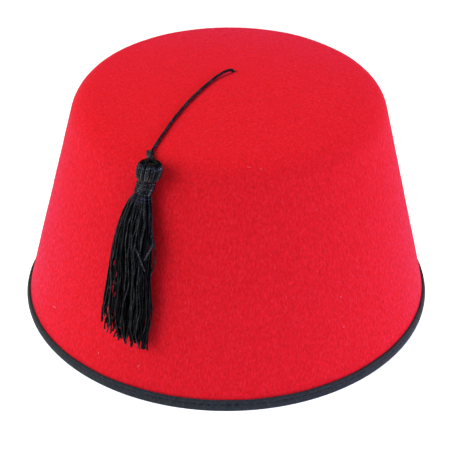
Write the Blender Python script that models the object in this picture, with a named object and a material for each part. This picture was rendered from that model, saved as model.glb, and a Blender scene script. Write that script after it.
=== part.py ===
# A fez: a moulded felt crown with a bound rim, and a thread tassel on a twisted cord.
# Metres, +Z up. The hat stands on its rim, and its front faces -Y.
import math

import bmesh
import bpy
import numpy as np
from mathutils import Vector

MM = 0.001

# Crown: a cone that narrows upwards, a rounded shoulder and a slightly domed top
RIM_RADIUS = 97.2 * MM
CROWN_HEIGHT = 112.2 * MM
WALL_TILT = math.radians(14.8)
SHOULDER_RADIUS = 14.8 * MM
DOME_RADIUS = 265.0 * MM
FELT = 2.0 * MM
LEAN = 0.0133  # the soft crown stands a little to +X: sideways shift for each unit of height
AROUND = 72

# Fit between neighbouring pieces
GAP = 0.3 * MM

# Tape folded over the rim
TAPE = 1.0 * MM
TAPE_HEIGHT = 4.4 * MM
TAPE_EDGE = 0.25 * MM

# Hole near the middle of the top, where the cord goes through at a slant
HOLE_RADIUS = 1.4 * MM
HOLE_AT = Vector((3.30, -0.20, 112.10)) * MM
HOLE_WAY = Vector((-0.40, -0.43, 0.81)).normalized()
HOLE_REACH = 4.0 * MM

# Cord, from the knot inside the crown to the knot on the tassel
CORD_DIAMETER = 1.4 * MM
CORD_STEP = 3.2 * MM
CORD_ROUTE = (
    # x, y, z in mm
    (4.42, 1.02, 109.65),
    (3.72, 0.26, 111.20),
    (3.12, -0.36, 112.45),
    (2.26, -1.18, 113.42),
    (0.85, -2.35, 113.74),
    (-1.55, -4.40, 113.62),
    (-5.00, -8.60, 113.20),
    (-8.80, -14.30, 112.65),
    (-12.55, -20.60, 112.05),
    (-16.25, -27.10, 111.25),
    (-19.80, -34.20, 110.15),
    (-22.60, -39.90, 109.10),
    (-25.00, -45.40, 107.95),
    (-27.35, -50.65, 106.75),
    (-29.86, -56.02, 105.10),
)
INNER_KNOT_AT = Vector((5.25, 1.95, 107.80)) * MM
INNER_KNOT_RADIUS = 1.9 * MM

# Knot and folded cord end at the top of the tassel
TASSEL_KNOT_AT = Vector((-30.53, -59.18, 103.98)) * MM
TASSEL_KNOT_WAY = Vector((-0.12, -0.90, -0.42)).normalized()
TASSEL_KNOT_LENGTH = 6.4 * MM
TASSEL_KNOT_WIDTH = 3.2 * MM

# Tassel: it lies against the wall, and its places are across, out of and down the wall
TASSEL_AZIMUTH = math.radians(-116.3)
TASSEL_TOP = 104.9 * MM
TASSEL_BACK = 0.35 * MM
HEAD_SEGMENTS = 48
HEAD_GROOVES = 16
GROOVE_DEPTH = 0.035
# The head lies a little to the right of the line down the wall, and the waist to the left
HEAD_SHIFT = 1.2 * MM
HEAD_OUT = 5.5 * MM
HEAD_ROWS = (
    # down, radius in mm
    (0.0, 1.7),
    (0.4, 3.1),
    (1.5, 4.3),
    (3.2, 5.0),
    (5.0, 5.1),
    (6.8, 4.85),
    (8.2, 4.2),
    (9.0, 2.9),
    (11.8, 2.8),
    (14.8, 2.9),
)
WAIST_SHIFT = -1.4 * MM
WAIST_OUT = 4.2 * MM
SKIRT_ROWS = (
    # down, left edge, right edge, thickness in mm
    (14.8, -4.8, 2.4, 7.8),
    (19.0, -6.9, 3.0, 8.5),
    (25.0, -9.1, 4.1, 9.0),
    (35.0, -11.3, 5.5, 9.4),
    (44.0, -12.3, 6.0, 9.4),
    (52.0, -12.9, 6.5, 9.2),
    (61.0, -13.8, 7.6, 8.8),
    (73.0, -14.9, 7.9, 8.0),
    (84.0, -14.6, 8.6, 7.0),
)
CORE_INSET = 0.8  # how far the core lies inside the skirt's outline, as a share of a lock's radius
CORE_END = 74.0 * MM
LOCK_START = 14.95 * MM
LOCK_SIDES = 6
LOCK_RINGS = 9
LOCK_ROWS = (
    # share of the half width to the right, share of the half thickness outwards, end in mm
    (-1.00, 0.00, 76.5),
    (-0.86, 0.52, 76.8),
    (-0.62, 0.80, 79.2),
    (-0.35, 0.96, 79.8),
    (-0.06, 1.00, 82.0),
    (0.24, 0.98, 81.6),
    (0.52, 0.86, 83.6),
    (0.80, 0.60, 82.2),
    (1.00, 0.10, 84.0),
    (0.84, -0.60, 82.0),
    (0.48, -0.92, 82.8),
    (0.10, -1.00, 81.0),
    (-0.28, -0.98, 80.0),
    (-0.62, -0.84, 78.6),
    (-0.90, -0.46, 76.8),
    (-0.30, 0.05, 79.5),
    (0.30, -0.05, 81.5),
)
LOCK_RADII = (
    # down, radius in mm
    (14.8, 0.9),
    (25.0, 1.7),
    (60.0, 2.0),
    (84.5, 1.6),
)
LOCK_TIP = 1.4 * MM
LOCK_TIP_SHARE = 0.5

# Thread wound round the waist
BAND_TOP = 9.3 * MM
BAND_TURNS = 5
BAND_THREAD = 1.06 * MM
BAND_INNER = 3.25 * MM
BAND_OUTER = 3.8 * MM
BAND_GROOVE = 3.55 * MM
BAND_SEGMENTS = 28

# Colours are linear red, green and blue
MATERIALS = {
    # name: colour, roughness
    "felt": ((0.76, 0.010, 0.022), 0.95),
    "binding_tape": ((0.018, 0.022, 0.030), 0.80),
    "thread": ((0.008, 0.009, 0.012), 0.55),
}


def clear_scene():
    for old in list(bpy.data.objects):
        bpy.data.objects.remove(old, do_unlink=True)


def make_material(name):
    colour, roughness = MATERIALS[name]
    material = bpy.data.materials.new(name)
    material.use_nodes = True
    shader = material.node_tree.nodes["Principled BSDF"]
    shader.inputs["Base Color"].default_value = (*colour, 1.0)
    shader.inputs["Roughness"].default_value = roughness
    shader.inputs["Metallic"].default_value = 0.0
    material.diffuse_color = (*colour, 1.0)
    return material


def add_object(name, bm, material, sharp_angle=40.0):
    """Turn a bmesh into a smooth-shaded object with its faces pointing out."""
    bmesh.ops.recalc_face_normals(bm, faces=bm.faces)
    mesh = bpy.data.meshes.new(name)
    bm.to_mesh(mesh)
    bm.free()
    mesh.shade_smooth()
    mesh.set_sharp_from_angle(angle=math.radians(sharp_angle))
    mesh.materials.append(material)
    thing = bpy.data.objects.new(name, mesh)
    bpy.context.scene.collection.objects.link(thing)
    return thing


def as_guide(thing):
    """Keep a helper solid out of the model."""
    thing.hide_render = True
    thing.display_type = "WIRE"
    return thing


def add_rings(bm, rings, loop_rings=False):
    """Join rings of points into a skin, capped at both ends unless the rings loop."""
    made = [[bm.verts.new(point) for point in ring] for ring in rings]
    count = len(made[0])
    pairs = list(zip(made, made[1:]))
    if loop_rings:
        pairs.append((made[-1], made[0]))
    for lower, upper in pairs:
        for i in range(count):
            j = (i + 1) % count
            bm.faces.new((lower[i], lower[j], upper[j], upper[i]))
    if not loop_rings:
        bm.faces.new(made[0])
        bm.faces.new(made[-1])


def leaning(radius, azimuth, height):
    """A point of the crown, which stands a little to one side."""
    x = radius * math.cos(azimuth) + LEAN * height
    return Vector((x, radius * math.sin(azimuth), height))


# The felt's outer radius at the height of the floor, where the tape and its gap end outside it
WALL_RADIUS = RIM_RADIUS - (TAPE + GAP) / math.cos(WALL_TILT)


def wall_radius(height, depth=0.0):
    """Radius of the conical wall at a height, at a depth under its outer face."""
    return WALL_RADIUS - height * math.tan(WALL_TILT) - depth / math.cos(WALL_TILT)


def shoulder_centre():
    """Centre of the arc that touches the wall and the dome, as a radius and a height."""
    slope = math.tan(WALL_TILT)
    dome_centre = CROWN_HEIGHT - DOME_RADIUS
    start = WALL_RADIUS - SHOULDER_RADIUS / math.cos(WALL_TILT)
    a = slope**2 + 1.0
    b = -2.0 * (start * slope + dome_centre)
    c = start**2 + dome_centre**2 - (DOME_RADIUS - SHOULDER_RADIUS) ** 2
    height = (-b + math.sqrt(b * b - 4.0 * a * c)) / (2.0 * a)
    return start - height * slope, height


def crown_section(depth, lowest, wall_steps, shoulder_steps, dome_steps):
    """The crown's section at a depth under its outer face, from the rim to the middle of the top."""
    centre_radius, centre_height = shoulder_centre()
    dome_centre = CROWN_HEIGHT - DOME_RADIUS
    bend = SHOULDER_RADIUS - depth
    shoulder_end = math.atan2(centre_height - dome_centre, centre_radius)
    wall_top = centre_height + bend * math.sin(WALL_TILT)
    section = []
    for height in np.linspace(lowest, wall_top, wall_steps, endpoint=False):
        section.append((wall_radius(height, depth), height))
    for angle in np.linspace(WALL_TILT, shoulder_end, shoulder_steps, endpoint=False):
        radius = centre_radius + bend * math.cos(angle)
        section.append((radius, centre_height + bend * math.sin(angle)))
    for angle in np.linspace(shoulder_end, math.pi / 2.0, dome_steps + 1):
        radius = (DOME_RADIUS - depth) * math.cos(angle)
        section.append((radius, dome_centre + (DOME_RADIUS - depth) * math.sin(angle)))
    return section


def turned(name, section, material):
    """Turn a section round the leaning axis; a section that ends on the axis closes at a point."""
    bm = bmesh.new()
    on_axis = 1e-6
    made = []
    for radius, height in section:
        if radius < on_axis:
            made.append([bm.verts.new(leaning(0.0, 0.0, height))])
            continue
        ring = [2.0 * math.pi * i / AROUND for i in range(AROUND)]
        made.append([bm.verts.new(leaning(radius, angle, height)) for angle in ring])
    for lower, upper in zip(made, made[1:] + made[:1]):
        if len(lower) == 1 and len(upper) == 1:
            continue
        for i in range(AROUND):
            j = (i + 1) % AROUND
            if len(upper) == 1:
                bm.faces.new((lower[i], lower[j], upper[0]))
            elif len(lower) == 1:
                bm.faces.new((lower[0], upper[j], upper[i]))
            else:
                bm.faces.new((lower[i], lower[j], upper[j], upper[i]))
    return add_object(name, bm, material)


def make_crown(material):
    felt_bottom = TAPE + GAP
    outside = crown_section(0.0, felt_bottom, 2, 7, 4)
    inside = crown_section(FELT, felt_bottom, 2, 5, 3)
    crown = turned("crown", outside + inside[::-1], material)
    punch = make_rod("hole_punch", HOLE_AT, HOLE_WAY, HOLE_RADIUS, HOLE_REACH, material)
    cut = crown.modifiers.new("cord_hole", "BOOLEAN")
    cut.operation = "DIFFERENCE"
    cut.solver = "EXACT"
    cut.object = as_guide(punch)
    return crown


def make_rod(name, middle, way, radius, reach, material, sides=16):
    """A round rod along a direction, as far to each side of its middle."""
    side = way.orthogonal().normalized()
    other = way.cross(side)
    rings = []
    for end in (-reach, reach):
        ring = []
        for i in range(sides):
            angle = 2.0 * math.pi * i / sides
            offset = side * math.cos(angle) + other * math.sin(angle)
            ring.append(middle + way * end + offset * radius)
        rings.append(ring)
    bm = bmesh.new()
    add_rings(bm, rings)
    return add_object(name, bm, material)


def make_binding(material):
    """Tape folded over the rim: an outer leg, the fold on the floor and an inner leg."""
    outer = -(GAP + TAPE)
    inner = FELT + GAP + TAPE
    shoulder = TAPE_HEIGHT - TAPE_EDGE
    corners = (
        # depth under the felt's face, height
        (outer, 0.0),
        (outer, shoulder),
        (outer + TAPE_EDGE, TAPE_HEIGHT),
        (-GAP - TAPE_EDGE, TAPE_HEIGHT),
        (-GAP, shoulder),
        (-GAP, TAPE),
        (FELT + GAP, TAPE),
        (FELT + GAP, shoulder),
        (FELT + GAP + TAPE_EDGE, TAPE_HEIGHT),
        (inner - TAPE_EDGE, TAPE_HEIGHT),
        (inner, shoulder),
        (inner, 0.0),
    )
    section = [(wall_radius(height, depth), height) for depth, height in corners]
    return turned("rim_binding", section, material)


def smooth_route(points, step):
    """Points at even steps along one smooth curve through the route's own points."""
    route = np.array(points, dtype=float)
    route = np.vstack([2 * route[0] - route[1], route, 2 * route[-1] - route[-2]])
    fine = []
    for before, start, end, after in zip(route, route[1:], route[2:], route[3:]):
        for t in np.linspace(0.0, 1.0, 16, endpoint=False):
            curve = 2 * start + (end - before) * t
            curve += (2 * before - 5 * start + 4 * end - after) * t**2
            curve += (3 * start - before - 3 * end + after) * t**3
            fine.append(0.5 * curve)
    fine.append(route[-2])
    fine = np.array(fine)
    along = np.concatenate([[0.0], np.cumsum(np.linalg.norm(np.diff(fine, axis=0), axis=1))])
    stops = np.linspace(0.0, along[-1], round(along[-1] / step) + 1)
    return np.stack([np.interp(stops, along, fine[:, axis]) for axis in range(3)], axis=1)


def make_cord(material):
    curve = bpy.data.curves.new("cord", "CURVE")
    curve.dimensions = "3D"
    curve.bevel_depth = CORD_DIAMETER / 2.0
    curve.bevel_resolution = 2
    curve.use_fill_caps = True
    curve.materials.append(material)
    points = smooth_route([Vector(point) * MM for point in CORD_ROUTE], CORD_STEP)
    spline = curve.splines.new("POLY")
    spline.points.add(len(points) - 1)
    for slot, point in zip(spline.points, points):
        slot.co = (*point, 1.0)
    cord = bpy.data.objects.new("cord", curve)
    bpy.context.scene.collection.objects.link(cord)
    return cord


def make_knot(name, middle, way, length, width, material):
    """A plain knot: a ball drawn out along a direction."""
    bm = bmesh.new()
    bmesh.ops.create_uvsphere(bm, u_segments=14, v_segments=9, radius=0.5)
    bmesh.ops.scale(bm, vec=(width, width, length), verts=bm.verts)
    turn = way.to_track_quat("Z", "Y").to_matrix()
    bmesh.ops.rotate(bm, cent=(0.0, 0.0, 0.0), matrix=turn, verts=bm.verts)
    bmesh.ops.translate(bm, vec=middle, verts=bm.verts)
    return add_object(name, bm, material)


def on_wall(across, out, down):
    """A point by the wall: to the right, outwards, and down from the tassel's top."""
    foot = TASSEL_TOP - down * math.cos(WALL_TILT)
    radius = wall_radius(foot)
    azimuth = TASSEL_AZIMUTH + across / radius
    height = foot + out * math.sin(WALL_TILT)
    return leaning(radius + out * math.cos(WALL_TILT), azimuth, height)


def read_row(rows, down):
    """The values of a table between its rows, in metres."""
    table = np.array(rows) * MM
    return [float(np.interp(down, table[:, 0], column)) for column in table[:, 1:].T]


def head_place(down):
    """Where the middle of the head and waist lies: across and out."""
    waist = HEAD_ROWS[-1][0] * MM
    share = min(down / waist, 1.0) ** 2
    across = HEAD_SHIFT + (WAIST_SHIFT - HEAD_SHIFT) * share
    return across, HEAD_OUT + (WAIST_OUT - HEAD_OUT) * share


def skirt_section(down):
    """Middle of the skirt across and out, and its half width and half thickness."""
    left, right, thick = read_row(SKIRT_ROWS, down)
    return (left + right) / 2.0, TASSEL_BACK + thick / 2.0, (right - left) / 2.0, thick / 2.0


def tassel_body():
    """Head, waist and the core that the locks are fused to, as one skin."""
    rings = []
    turns = [2.0 * math.pi * i / HEAD_SEGMENTS for i in range(HEAD_SEGMENTS)]
    for down, radius in HEAD_ROWS:
        across, out = head_place(down * MM)
        ring = []
        for angle in turns:
            lobe = radius * MM * (1.0 - GROOVE_DEPTH + GROOVE_DEPTH * math.cos(HEAD_GROOVES * angle))
            ring.append(on_wall(across + lobe * math.cos(angle), out + lobe * math.sin(angle), down * MM))
        rings.append(ring)
    for down in [row[0] * MM for row in SKIRT_ROWS[1:] if row[0] * MM < CORE_END] + [CORE_END]:
        across, out, half_width, half_thick = skirt_section(down)
        inset = CORE_INSET * read_row(LOCK_RADII, down)[0]
        ring = []
        for angle in turns:
            side = across + (half_width - inset) * math.cos(angle)
            ring.append(on_wall(side, out + (half_thick - inset) * math.sin(angle), down))
        rings.append(ring)
    bm = bmesh.new()
    add_rings(bm, rings)
    return bm


def tassel_lock(to_right, to_front, end):
    """One lock of the skirt, from inside the waist to its own blunt tip."""
    downs = list(np.linspace(LOCK_START, end - LOCK_TIP, LOCK_RINGS - 1)) + [end]
    rings = []
    for down in downs:
        across, out, half_width, half_thick = skirt_section(down)
        (radius,) = read_row(LOCK_RADII, down)
        side = across + to_right * (half_width - radius)
        front = out + to_front * (half_thick - radius)
        if down == end:
            radius *= LOCK_TIP_SHARE
        ring = []
        for i in range(LOCK_SIDES):
            angle = 2.0 * math.pi * i / LOCK_SIDES + to_right
            ring.append(on_wall(side + radius * math.cos(angle), front + radius * math.sin(angle), down))
        rings.append(ring)
    bm = bmesh.new()
    add_rings(bm, rings)
    return bm


def make_tassel(material):
    tassel = add_object("tassel", tassel_body(), material)
    locks = bpy.data.collections.new("locks")
    bpy.context.scene.collection.children.link(locks)
    for number, (to_right, to_front, end) in enumerate(LOCK_ROWS):
        lock = add_object(f"lock_{number:02d}", tassel_lock(to_right, to_front, end * MM), material)
        bpy.context.scene.collection.objects.unlink(lock)
        locks.objects.link(as_guide(lock))
    fuse = tassel.modifiers.new("locks", "BOOLEAN")
    fuse.operation = "UNION"
    fuse.solver = "EXACT"
    fuse.operand_type = "COLLECTION"
    fuse.collection = locks
    return tassel


def make_band(material):
    """The winding round the waist: a ring with a rounded ridge for each turn."""
    section = []
    for turn in range(BAND_TURNS):
        top = turn * BAND_THREAD
        section.append((BAND_GROOVE, top))
        section.append((BAND_OUTER, top + 0.3 * BAND_THREAD))
        section.append((BAND_OUTER, top + 0.7 * BAND_THREAD))
    bottom = BAND_TURNS * BAND_THREAD
    section += [(BAND_GROOVE, bottom), (BAND_INNER, bottom), (BAND_INNER, 0.0)]
    rings = []
    for radius, drop in section:
        down = BAND_TOP + drop
        across, out = head_place(down)
        ring = []
        for i in range(BAND_SEGMENTS):
            angle = 2.0 * math.pi * i / BAND_SEGMENTS
            ring.append(on_wall(across + radius * math.cos(angle), out + radius * math.sin(angle), down))
        rings.append(ring)
    bm = bmesh.new()
    add_rings(bm, rings, loop_rings=True)
    return add_object("tassel_band", bm, material)


def main():
    clear_scene()
    materials = {name: make_material(name) for name in MATERIALS}
    felt = materials["felt"]
    thread = materials["thread"]
    make_crown(felt)
    make_binding(materials["binding_tape"])
    make_cord(thread)
    make_knot(
        "inner_knot", INNER_KNOT_AT, HOLE_WAY, 2 * INNER_KNOT_RADIUS, 2 * INNER_KNOT_RADIUS, thread
    )
    make_knot(
        "tassel_knot", TASSEL_KNOT_AT, TASSEL_KNOT_WAY, TASSEL_KNOT_LENGTH, TASSEL_KNOT_WIDTH, thread
    )
    make_tassel(thread)
    make_band(thread)


main()
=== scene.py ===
# The looks of a red felt fez with a black thread tassel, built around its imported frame.
# +Z up, in the frame of the solids. Lengths are in millimetres until they are multiplied by MM, and the
# studio at the end of the tables is in metres.
import math

import bpy
import numpy as np
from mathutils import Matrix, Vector, noise


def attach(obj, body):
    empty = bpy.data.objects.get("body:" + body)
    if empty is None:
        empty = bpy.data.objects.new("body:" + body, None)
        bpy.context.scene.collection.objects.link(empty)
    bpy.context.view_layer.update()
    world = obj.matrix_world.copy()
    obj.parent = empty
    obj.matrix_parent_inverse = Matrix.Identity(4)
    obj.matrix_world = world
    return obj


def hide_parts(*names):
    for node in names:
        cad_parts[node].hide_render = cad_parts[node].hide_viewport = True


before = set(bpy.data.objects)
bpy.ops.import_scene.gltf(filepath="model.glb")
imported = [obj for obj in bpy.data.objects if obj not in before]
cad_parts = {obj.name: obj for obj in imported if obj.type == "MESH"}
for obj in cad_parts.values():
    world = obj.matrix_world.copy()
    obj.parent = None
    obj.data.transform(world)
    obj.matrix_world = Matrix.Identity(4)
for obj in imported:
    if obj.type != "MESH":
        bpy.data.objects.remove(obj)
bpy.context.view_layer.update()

MM = 0.001
IMAGE_SIDE = 450
TUBE_BLUNT = 0.5
PLIES = 2
PLY_OFFSET = 0.47
PLY_SIZE = 0.56

# Crown, as the solids have it
RIM_RADIUS = 97.2
CROWN_HEIGHT = 112.2
WALL_TILT = math.radians(14.8)
SHOULDER_RADIUS = 14.8
DOME_RADIUS = 265.0
FELT = 2.0
LEAN = 0.0133
GAP = 0.3
TAPE = 1.0
TAPE_HEIGHT = 4.4
WALL_RADIUS = RIM_RADIUS - (TAPE + GAP) / math.cos(WALL_TILT)

# Cord, as the solids have it
CORD_DIAMETER = 1.4
CORD_ROUTE = (
    # x, y, z in mm
    (4.42, 1.02, 109.65),
    (3.72, 0.26, 111.20),
    (3.12, -0.36, 112.45),
    (2.26, -1.18, 113.42),
    (0.85, -2.35, 113.74),
    (-1.55, -4.40, 113.62),
    (-5.00, -8.60, 113.20),
    (-8.80, -14.30, 112.65),
    (-12.55, -20.60, 112.05),
    (-16.25, -27.10, 111.25),
    (-19.80, -34.20, 110.15),
    (-22.60, -39.90, 109.10),
    (-25.00, -45.40, 107.95),
    (-27.35, -50.65, 106.75),
    (-29.86, -56.02, 105.10),
)
HOLE_AT = np.array([3.30, -0.20, 112.10])
HOLE_WAY = np.array([-0.40, -0.43, 0.81])
INNER_KNOT_AT = np.array([5.25, 1.95, 107.80])

# Tassel, as the solids have it
TASSEL_AZIMUTH = math.radians(-116.3)
TASSEL_TOP = 104.9
TASSEL_BACK = 0.35
TASSEL_KNOT_AT = np.array([-30.53, -59.18, 103.98])
HEAD_SHIFT = 1.2
HEAD_OUT = 5.5
WAIST_SHIFT = -1.4
WAIST_OUT = 4.2
WAIST_END = 14.8
HEAD_ROWS = (
    # down, radius in mm
    (0.0, 1.7),
    (0.4, 3.1),
    (1.5, 4.3),
    (3.2, 5.0),
    (5.0, 5.1),
    (6.8, 4.85),
    (8.2, 4.2),
    (9.0, 2.9),
    (11.8, 2.8),
    (14.8, 2.9),
)
SKIRT_ROWS = (
    # down, left edge, right edge, thickness in mm
    (14.8, -4.8, 2.4, 7.8),
    (19.0, -6.9, 3.0, 8.5),
    (25.0, -9.1, 4.1, 9.0),
    (35.0, -11.3, 5.5, 9.4),
    (44.0, -12.3, 6.0, 9.4),
    (52.0, -12.9, 6.5, 9.2),
    (61.0, -13.8, 7.6, 8.8),
    (73.0, -14.9, 7.9, 8.0),
    (84.0, -14.6, 8.6, 7.0),
)

# Felt and tape, as the looks have them
FELT_BOTTOM = TAPE + GAP
FELT_WAVES = (
    # length, height in mm, where in the noise
    (42.0, 0.22, (3.1, 7.7, 1.3)),
    (13.0, 0.09, (9.2, 0.4, 5.5)),
    (2.4, 0.035, (1.9, 4.2, 8.1)),
)
CALM_RIM = 12.0
CALM_HOLE = 8.0
HOLE_RADIUS = 0.76
HOLE_PULL = 40.0
DIMPLE_DEPTH = 0.12
DIMPLE_WIDTH = 1.8
CROWN_AROUND = 420
RIM_AROUND = 360
RIB_LENGTH = 0.75
PICK_LENGTH = 0.42
SEAM_HEIGHT = 2.85
SEAM_DEPTH = 1.21
TAPE_SWELL = 0.06
TAPE_RISE = 0.13
STITCHES = 200
STITCH_RADIUS = 0.17
STITCH_SINK = 0.22
TAPE_TOPS = (
    # azimuth in degrees, height of the tape's outer upper edge in mm
    (-180.0, 2.2),
    (-165.0, 2.7),
    (-150.0, 3.2),
    (-135.0, 3.8),
    (-115.0, 4.4),
    (-90.0, 4.6),
    (-60.0, 4.4),
    (-35.0, 4.1),
    (-15.0, 3.3),
    (-4.0, 2.7),
    (8.0, 2.0),
    (18.0, 2.2),
    (40.0, 3.8),
    (120.0, 4.4),
    (145.0, 3.6),
    (162.0, 1.4),
    (172.0, 1.3),
    (180.0, 2.2),
)
TAPE_PRESSED = (
    # azimuth in degrees where the tape lies flatter, its share of the thickness that is lost
    (12.0, 0.36),
    (167.0, 0.36),
)
PRESSED_WIDTH = 11.0
NAP_FIBRES = 1500
NAP_RADIUS = 0.030
NAP_FOOT = 6.4
NAP_WALL_TOP = 95.0
NAP_HEIGHTS_END = 160.0
NAP_TOP_RADIUS = 66.0
LINT_LIFT = 0.15
LINT = (
    # middle and direction in mm, length, radius, tone
    ((-77.65, -47.47, 17.72), (0.88, -0.47, 0.10), 3.0, 0.10, 1.0),
    ((-55.55, -73.83, 12.86), (0.10, -0.10, 1.0), 1.2, 0.08, 0.8),
    ((-37.45, -84.09, 14.24), (0.60, -0.10, 0.8), 1.8, 0.05, 0.9),
    ((9.01, -65.34, 102.50), (0.90, -0.10, -0.3), 1.4, 0.06, 0.5),
    ((13.83, -65.55, 101.69), (0.70, -0.10, 0.6), 1.0, 0.06, 0.6),
    ((50.48, -73.22, 27.09), (0.30, 0.20, 1.0), 0.9, 0.07, 0.2),
    ((48.79, -70.10, 40.86), (0.40, 0.30, 0.9), 0.8, 0.07, 0.2),
)

# Knots, as the looks have them: down the cord, away from the felt and to the left of the middle
CORD_PITCH = 2.8
INNER_KNOT_SCALE = 0.42
INNER_KNOT_CORD = 0.62
BRAID_HALF_WIDTH = 1.08
BRAID_FLATNESS = 0.40
CORD_END_RADIUS = 0.66
KNOT_CORD_RADIUS = 0.52
KNOT_TAIL_RADIUS = 0.50
KNOT_DOWN = np.array([0.025, -0.837, -0.547])
KNOT_UP = np.array([-0.290, -0.503, 0.810])
KNOT_LEFT = np.array([-0.953, 0.138, -0.255])
LOOP_ROUTE = (
    (3.3, -0.55, 0.55),
    (1.4, -0.60, 0.62),
    (-0.6, -0.58, 0.68),
    (-1.9, -0.40, 0.72),
    (-2.3, 0.05, 0.72),
    (-1.9, 0.52, 0.72),
    (-0.7, 0.66, 0.66),
    (0.9, 0.62, 0.52),
    (2.5, 0.25, 0.35),
)
CORD_END_ROUTE = (
    (-3.3, -0.92, -0.60),
    (-1.6, -0.72, -0.62),
    (0.0, -0.35, -0.66),
    (1.2, 0.05, -0.66),
    (2.2, 0.30, -0.45),
)
KNOT_TURNS = (
    # down, left of the middle, half width, half height, tilt
    (2.05, -0.25, 1.45, 1.15, 0.30),
    (2.95, -0.30, 1.25, 1.00, -0.15),
)
KNOT_TAIL_ROUTE = (
    (2.0, 0.70, -0.90),
    (2.0, 0.90, -1.60),
    (2.5, 0.70, -2.15),
)

# Tassel, as the looks have it
HEAD_STRANDS = 58
HEAD_POLE = (-0.30, 0.45)
HEAD_PARTING = math.radians(88.0)
HEAD_PARTING_WIDTH = 0.16
HEAD_PARTING_PUSH = 0.07
HEAD_CORE_DEPTH = 0.55
HEAD_CORE_DROP = 0.3
# Painted shade: down in mm, then the share of tone that the head's threads keep, darker and duller towards
# the head's top
HEAD_TOP_PAINTED_SHADE = ((0.4, 3.2), (0.15, 1.0))
WAIST_RADIUS = 2.8
WINDING_TOP = 8.5
WINDING_TURNS = 7.6
WINDING_PITCH = 0.74
WINDING_RADIUS = 0.38
WINDING_REACH = 3.35
WINDING_TILT = 0.45
WINDING_STEPS = 44
WINDING_JOINT = 33
LAST_TURN = (0.55 * math.pi, 2.2 * math.pi)
LAST_TURN_DOWN = (1.2, 4.6)
LAST_TURN_OVER = 0.42
LAST_TURN_STEPS = 46
STRAND_START = 12.4
SKIRT_OPEN = 17.0
STRAND_RINGS = 56
STRAND_RADIUS = 0.36
STRAND_WIDTHS = (
    # down, radius in mm
    (STRAND_START, 0.22),
    (17.0, 0.24),
    (30.0, 0.28),
    (60.0, STRAND_RADIUS),
)
STRAND_WAVES = (
    # length, size in mm
    (43.0, 0.50),
    (21.0, 0.34),
    (9.0, 0.10),
)
STRAND_FREE = 12.0
STRAND_NOD = 0.6
DRIFT_START = 18.0
DRIFT_LENGTH = 50.0
DRIFT_SPREAD = 0.08
TIP_LENGTH = 11.0
TIP_SPLAY = 1.6
END_SPREAD = 2.4
INNER_LOSS = 30.0
SKIRT_LAYERS = (
    # share of the section, threads
    (1.00, 56),
    (0.80, 44),
    (0.58, 28),
    (0.34, 14),
    (0.10, 4),
)
STRAND_ENDS = (
    # share of the half width to the right, end in mm
    (-1.00, 76.6),
    (-0.80, 76.8),
    (-0.60, 79.4),
    (-0.30, 80.4),
    (-0.05, 82.0),
    (0.30, 81.6),
    (0.55, 83.2),
    (1.00, 83.6),
)
CLUMP_SWAY = 1.5
CLUMP_LENGTH = 21.0
TONE_CURVE = 1.6
# Painted shade: down in mm, then the share of tone that the skirt's threads keep, darker and duller lower
# down
SKIRT_LOW_PAINTED_SHADE = ((35.0, 62.0), (1.0, 0.45))
PARTING_AT = 62.0
PARTING_LENGTH = 14.0
PARTING_SHARE = -0.80
PARTING_REACH = 0.8
PARTING_WIDTH = 1.3
STRAY_ROUTES = (
    # tone, then down, across, out in mm
    (
        0.4,
        (
            (28.0, 4.0, 5.4), (34.0, 5.8, 5.0), (39.0, 6.9, 4.8),
            (44.0, 6.9, 4.8), (50.0, 5.8, 5.0), (56.0, 5.0, 5.4),
        ),
    ),
    (
        0.3,
        (
            (54.0, 5.6, 4.6), (59.0, 7.0, 4.2), (64.0, 7.9, 3.8),
            (70.0, 7.9, 3.4), (76.0, 7.2, 3.4), (81.5, 6.6, 3.4),
        ),
    ),
    (
        0.3,
        (
            (54.0, -12.8, 3.4), (59.0, -14.3, 3.0), (64.0, -14.9, 2.7),
            (70.0, -15.1, 2.5), (75.6, -14.6, 2.4),
        ),
    ),
    (
        0.3,
        (
            (50.0, -9.5, 8.3), (58.0, -8.4, 8.7), (66.0, -8.8, 8.6),
            (73.0, -8.0, 8.0), (79.5, -9.6, 6.9),
        ),
    ),
    (
        0.9,
        (
            (37.0, 0.6, 9.2), (39.5, 1.9, 9.4), (43.0, 3.4, 8.9),
            (46.5, 4.6, 7.9),
        ),
    ),
    (
        0.8,
        (
            (31.0, 4.9, 6.2), (35.0, 5.9, 6.2), (38.5, 5.1, 7.6),
            (41.5, 4.1, 8.5),
        ),
    ),
)

# Studio, in metres: the paper glows most beside the hat, not under it, and again past the photo's view
FLOOR_HALF = 6.0
FLOOR_GLOW = 0.12
FLOOR_GLOW_NEAR = 0.62
PAPER_UNDER = (0.088, 0.094)
PAPER_NEAR = (0.10, 0.32)
PAPER_FAR = (0.65, 1.40)
LIGHT_AIM = (0.0, 0.0, 0.06)
WORLD_STRENGTH = 0.03
LIGHTS = (
    # name, place in metres, side in metres, power in watts, colour
    ("left", (-1.10, -0.35, 0.75), 1.0, 11.35, (1.0, 1.05, 1.32)),
    ("left_front", (-0.95, -0.65, 0.45), 0.8, 2.5, (1.0, 1.05, 1.32)),
    ("back_top", (0.0, 0.51, 1.25), 1.0, 12.4, (1.0, 0.86, 0.52)),
    ("right", (1.13, -0.41, 0.45), 0.6, 10.5, (1.0, 1.05, 1.72)),
)


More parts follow.
